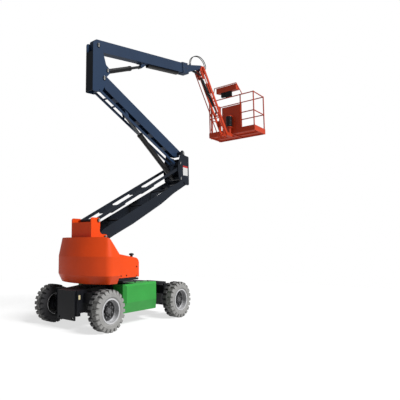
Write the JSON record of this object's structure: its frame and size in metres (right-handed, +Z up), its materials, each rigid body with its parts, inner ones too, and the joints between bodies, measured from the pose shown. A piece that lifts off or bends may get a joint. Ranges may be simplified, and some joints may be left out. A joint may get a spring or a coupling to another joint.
{
  "type": "articulating boom lift",
  "caption": "Self-propelled articulating boom lift with two box risers, a telescoping main boom, a jib and a caged work platform on four lugged tyres",
  "frame": {"origin": "on the ground, below the slewing axis at the middle of the underframe", "axes": "+X toward the work platform, +Y to the left, +Z up"},
  "size_m": [7.2346, 1.748, 6.7469],
  "materials": {
    "chassis_black": "satin black paint",
    "body_orange": "gloss orange paint",
    "box_green": "satin green paint",
    "boom_blue": "satin slate-blue paint",
    "riser_navy": "satin near-black navy paint",
    "jib_orange": "satin orange-red paint",
    "tyre_rubber": "dusty grey-black tread rubber",
    "rim_silver": "silver paint",
    "cylinder_black": "gloss black paint",
    "rod_chrome": "polished chrome",
    "hose_rubber": "black hose",
    "steel_grey": "machined steel",
    "weight_iron": "cast counterweight with gloss orange paint"
  },
  "bodies": {
    "chassis": {"chassis_frame": "chassis_black", "end_plates": "chassis_black", "axle_steer": "chassis_black", "axle_fixed": "chassis_black", "side_box_left": "box_green", "side_box_right": "box_green", "slew_ring": "steel_grey"},
    "steer_knuckle_left": {"steer_knuckle_left": "chassis_black"},
    "steer_knuckle_right": {"steer_knuckle_right": "chassis_black"},
    "tie_rod": {"tie_rod": "chassis_black"},
    "turntable": {"turntable_base": "chassis_black", "mast_bracket": "body_orange", "counterweight": "weight_iron", "battery_pack": "cylinder_black", "hydraulic_tank": "cylinder_black"},
    "hood_left": {"hood_left": "body_orange"},
    "hood_right": {"hood_right": "body_orange"},
    "lower_riser": {"lower_riser": "riser_navy"},
    "lower_link": {"lower_link": "riser_navy"},
    "mid_knuckle": {"mid_knuckle": "riser_navy"},
    "upper_riser": {"upper_riser": "boom_blue"},
    "upper_link": {"upper_link": "riser_navy"},
    "top_knuckle": {"top_knuckle": "riser_navy"},
    "main_boom": {"main_boom": "boom_blue", "hose_carrier": "cylinder_black"},
    "fly_boom": {"fly_boom": "boom_blue", "nose_hose_left": "hose_rubber", "nose_hose_right": "hose_rubber"},
    "jib_bracket": {"jib_bracket": "jib_orange"},
    "jib_arm": {"jib_arm": "jib_orange"},
    "jib_link": {"jib_link": "jib_orange"},
    "jib_foot": {"jib_foot": "jib_orange", "rotator": "cylinder_black"},
    "platform": {"platform_mount": "jib_orange", "platform_floor": "jib_orange", "rails_back": "jib_orange", "rails_front": "jib_orange", "rails_side": "jib_orange", "toe_boards": "jib_orange", "platform_panel": "jib_orange", "console": "jib_orange"},
    "gate": {"gate": "jib_orange"},
    "wheel_steer_left": {"tyre_steer_left": "tyre_rubber", "rim_steer_left": "rim_silver"},
    "wheel_steer_right": {"tyre_steer_right": "tyre_rubber", "rim_steer_right": "rim_silver"},
    "wheel_fixed_left": {"tyre_fixed_left": "tyre_rubber", "rim_fixed_left": "rim_silver"},
    "wheel_fixed_right": {"tyre_fixed_right": "tyre_rubber", "rim_fixed_right": "rim_silver"},
    "lower_barrel": {"lower_cylinder_barrel": "cylinder_black"},
    "lower_rod": {"lower_cylinder_rod": "rod_chrome"},
    "upper_barrel": {"upper_cylinder_barrel": "cylinder_black"},
    "upper_rod": {"upper_cylinder_rod": "rod_chrome"},
    "boom_barrel": {"boom_cylinder_barrel": "cylinder_black"},
    "boom_rod": {"boom_cylinder_rod": "rod_chrome"},
    "level_barrel": {"level_cylinder_barrel": "cylinder_black"},
    "level_rod": {"level_cylinder_rod": "rod_chrome"},
    "jib_barrel": {"jib_cylinder_barrel": "cylinder_black"},
    "jib_rod": {"jib_cylinder_rod": "rod_chrome"}
  },
  "joints": [
    {"name": "steer_left", "type": "hinge", "parent": "chassis", "child": "steer_knuckle_left", "pos_m": [-1.053, 0.57, 0.3675], "axis": [0, 0, 1], "range_deg": [-30, 30]},
    {"name": "steer_right", "type": "hinge", "parent": "chassis", "child": "steer_knuckle_right", "pos_m": [-1.053, -0.57, 0.3675], "axis": [0, 0, 1], "range_deg": [-30, 30]},
    {"name": "tie_rod_swing", "type": "hinge", "parent": "steer_knuckle_left", "child": "tie_rod", "pos_m": [-0.883, 0.57, 0.25], "axis": [0, 0, 1], "range_deg": [-30, 30]},
    {"name": "wheel_steer_left", "type": "hinge", "parent": "steer_knuckle_left", "child": "wheel_steer_left", "pos_m": [-1.053, 0.7565, 0.3675], "axis": [0, 1, 0], "continuous": true},
    {"name": "wheel_steer_right", "type": "hinge", "parent": "steer_knuckle_right", "child": "wheel_steer_right", "pos_m": [-1.053, -0.7565, 0.3675], "axis": [0, 1, 0], "continuous": true},
    {"name": "wheel_fixed_left", "type": "hinge", "parent": "chassis", "child": "wheel_fixed_left", "pos_m": [1.053, 0.7565, 0.3675], "axis": [0, 1, 0], "continuous": true},
    {"name": "wheel_fixed_right", "type": "hinge", "parent": "chassis", "child": "wheel_fixed_right", "pos_m": [1.053, -0.7565, 0.3675], "axis": [0, 1, 0], "continuous": true},
    {"name": "swing", "type": "hinge", "parent": "chassis", "child": "turntable", "pos_m": [0, 0, 0.79], "axis": [0, 0, 1], "continuous": true},
    {"name": "hood_left", "type": "hinge", "parent": "turntable", "child": "hood_left", "pos_m": [-0.552, 0.3, 1.32437], "axis": [0.9876, 0, -0.1568], "range_deg": [0, 65]},
    {"name": "hood_right", "type": "hinge", "parent": "turntable", "child": "hood_right", "pos_m": [-0.552, -0.3, 1.32437], "axis": [-0.9876, 0, 0.1568], "range_deg": [0, 65]},
    {"name": "lower_lift", "type": "hinge", "parent": "turntable", "child": "lower_riser", "pos_m": [-0.62, 0, 1.655], "axis": [0, -1, 0], "range_deg": [-39, 38]},
    {"name": "lower_link_turn", "type": "hinge", "parent": "turntable", "child": "lower_link", "pos_m": [-0.81, 0, 1.985], "axis": [0, -1, 0], "range_deg": [-39, 38]},
    {"name": "mid_knuckle_turn", "type": "hinge", "parent": "lower_riser", "child": "mid_knuckle", "pos_m": [2.1647, 0, 3.03976], "axis": [0, -1, 0], "range_deg": [-38, 39]},
    {"name": "upper_lift", "type": "hinge", "parent": "mid_knuckle", "child": "upper_riser", "pos_m": [2.1347, 0, 3.77976], "axis": [0, 1, 0], "range_deg": [-7, 41]},
    {"name": "upper_link_turn", "type": "hinge", "parent": "mid_knuckle", "child": "upper_link", "pos_m": [2.0147, 0, 3.50476], "axis": [0, 1, 0], "range_deg": [-7, 41]},
    {"name": "top_knuckle_turn", "type": "hinge", "parent": "upper_riser", "child": "top_knuckle", "pos_m": [-0.50039, 0, 4.94197], "axis": [0, 1, 0], "range_deg": [-41, 7]},
    {"name": "boom_lift", "type": "hinge", "parent": "top_knuckle", "child": "main_boom", "pos_m": [-0.67039, 0, 5.59197], "axis": [0, -1, 0], "range_deg": [-9.6, 55]},
    {"name": "telescope", "type": "slide", "parent": "main_boom", "child": "fly_boom", "axis": [0.986, 0, 0.1668], "range_m": [0, 1.25]},
    {"name": "jib_level", "type": "hinge", "parent": "fly_boom", "child": "jib_bracket", "pos_m": [3.39982, 0, 6.41224], "axis": [0, -1, 0], "range_deg": [-55, 9.6]},
    {"name": "jib_lift", "type": "hinge", "parent": "jib_bracket", "child": "jib_arm", "pos_m": [3.39982, 0, 6.41224], "axis": [0, -1, 0], "range_deg": [-13, 76]},
    {"name": "jib_link_turn", "type": "hinge", "parent": "jib_bracket", "child": "jib_link", "pos_m": [3.28982, 0, 6.29224], "axis": [0, -1, 0], "range_deg": [-13, 76]},
    {"name": "foot_level", "type": "hinge", "parent": "jib_arm", "child": "jib_foot", "pos_m": [4.63963, 0, 4.80231], "axis": [0, -1, 0], "range_deg": [-76, 13]},
    {"name": "platform_turn", "type": "hinge", "parent": "jib_foot", "child": "platform", "pos_m": [4.965, 0, 5.085], "axis": [0, 0, 1], "range_deg": [-80, 80]},
    {"name": "gate", "type": "hinge", "parent": "platform", "child": "gate", "pos_m": [5.2, 0.743, 5.49], "axis": [0, 0, -1], "range_deg": [0, 90]},
    {"name": "lower_barrel_turn", "type": "hinge", "parent": "turntable", "child": "lower_barrel", "pos_m": [-0.56, 0, 1.51], "axis": [0, -1, 0], "range_deg": [-38.8, 37.8]},
    {"name": "lower_rod_slide", "type": "slide", "parent": "lower_barrel", "child": "lower_rod", "axis": [0.868, 0, 0.4965], "range_m": [-0.1004, 0.0978]},
    {"name": "upper_barrel_turn", "type": "hinge", "parent": "mid_knuckle", "child": "upper_barrel", "pos_m": [2.0297, 0, 3.12976], "axis": [0, 1, 0], "range_deg": [-5.81, 33.77]},
    {"name": "upper_rod_slide", "type": "slide", "parent": "upper_barrel", "child": "upper_rod", "axis": [-0.8262, 0, 0.5633], "range_m": [-0.0627, 0.3643]},
    {"name": "boom_barrel_turn", "type": "hinge", "parent": "top_knuckle", "child": "boom_barrel", "pos_m": [-0.40039, 0, 5.13197], "axis": [0, -1, 0], "range_deg": [-8.92, 50.85]},
    {"name": "boom_rod_slide", "type": "slide", "parent": "boom_barrel", "child": "boom_rod", "axis": [0.9228, 0, 0.3853], "range_m": [-0.0853, 0.4859]},
    {"name": "level_barrel_turn", "type": "hinge", "parent": "fly_boom", "child": "level_barrel", "pos_m": [2.87982, 0, 6.23224], "axis": [0, -1, 0], "range_deg": [-1.8, 10.08]},
    {"name": "level_rod_slide", "type": "slide", "parent": "level_barrel", "child": "level_rod", "axis": [1, 0, 0], "range_m": [-0.1458, 0.0259]},
    {"name": "jib_barrel_turn", "type": "hinge", "parent": "jib_bracket", "child": "jib_barrel", "pos_m": [3.42982, 0, 6.14724], "axis": [0, -1, 0], "range_deg": [-13.93, 81.15]},
    {"name": "jib_rod_slide", "type": "slide", "parent": "jib_barrel", "child": "jib_rod", "axis": [0.7023, 0, -0.7119], "range_m": [-0.0536, 0.3105]}
  ],
  "couplings": [
    {"joint": "steer_right", "follows": "steer_left", "ratio": 1},
    {"joint": "tie_rod_swing", "follows": "steer_left", "ratio": -1},
    {"joint": "lower_link_turn", "follows": "lower_lift", "ratio": 1},
    {"joint": "mid_knuckle_turn", "follows": "lower_lift", "ratio": -1},
    {"joint": "upper_link_turn", "follows": "upper_lift", "ratio": 1},
    {"joint": "top_knuckle_turn", "follows": "upper_lift", "ratio": -1},
    {"joint": "jib_level", "follows": "boom_lift", "ratio": -1},
    {"joint": "jib_link_turn", "follows": "jib_lift", "ratio": 1},
    {"joint": "foot_level", "follows": "jib_lift", "ratio": -1},
    {"joint": "lower_barrel_turn", "follows": "lower_lift", "ratio": 0.9934},
    {"joint": "lower_rod_slide", "follows": "lower_lift", "m_per_rad": 0.1467},
    {"joint": "upper_barrel_turn", "follows": "upper_lift", "ratio": 0.8222},
    {"joint": "upper_rod_slide", "follows": "upper_lift", "m_per_rad": 0.5083},
    {"joint": "boom_barrel_turn", "follows": "boom_lift", "ratio": 0.9236},
    {"joint": "boom_rod_slide", "follows": "boom_lift", "m_per_rad": 0.5056},
    {"joint": "level_barrel_turn", "follows": "boom_lift", "ratio": 0.1822},
    {"joint": "level_rod_slide", "follows": "boom_lift", "m_per_rad": -0.1513},
    {"joint": "jib_barrel_turn", "follows": "jib_lift", "ratio": 1.067},
    {"joint": "jib_rod_slide", "follows": "jib_lift", "m_per_rad": 0.2337}
  ]
}
